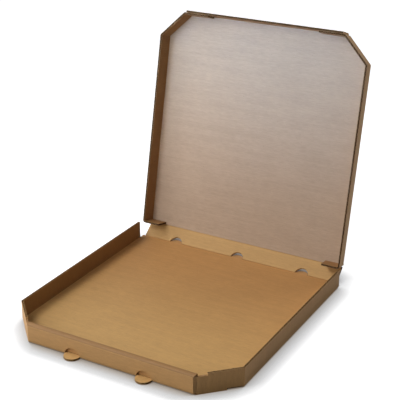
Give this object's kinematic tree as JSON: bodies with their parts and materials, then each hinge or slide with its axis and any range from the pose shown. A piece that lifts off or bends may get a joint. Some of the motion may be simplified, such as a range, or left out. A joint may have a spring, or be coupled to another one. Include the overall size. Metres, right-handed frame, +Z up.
{
  "type": "pizza box",
  "caption": "Open pizza box of plain brown corrugated board: a shallow tray with cut front corners and a rolled front wall, and a walled lid that swings back on a hinged back wall.",
  "frame": {"origin": "middle of the tray's underside, on the surface that the box stands on", "axes": "+Z up, +Y from the front wall to the back wall, +X to the right as seen from the front"},
  "size_m": [0.362, 0.4792, 0.3732],
  "materials": {
    "tray_board": "uncoated brown kraft liner, matt",
    "back_wall_board": "uncoated brown kraft liner, matt",
    "lid_board": "uncoated greyish brown kraft liner, matt"
  },
  "bodies": {
    "tray": {"tray": "tray_board"},
    "back_wall": {"back_wall": "back_wall_board"},
    "lid": {"lid": "lid_board"}
  },
  "joints": [
    {"name": "back_wall_hinge", "type": "hinge", "parent": "tray", "child": "back_wall", "pos_m": [0, 0.1845, 0.0015], "axis": [1, 0, 0], "range_deg": [-39, 51]},
    {"name": "lid_hinge", "type": "hinge", "parent": "back_wall", "child": "lid", "pos_m": [0, 0.20626, 0.01912], "axis": [1, 0, 0], "range_deg": [-39, 51]}
  ]
}
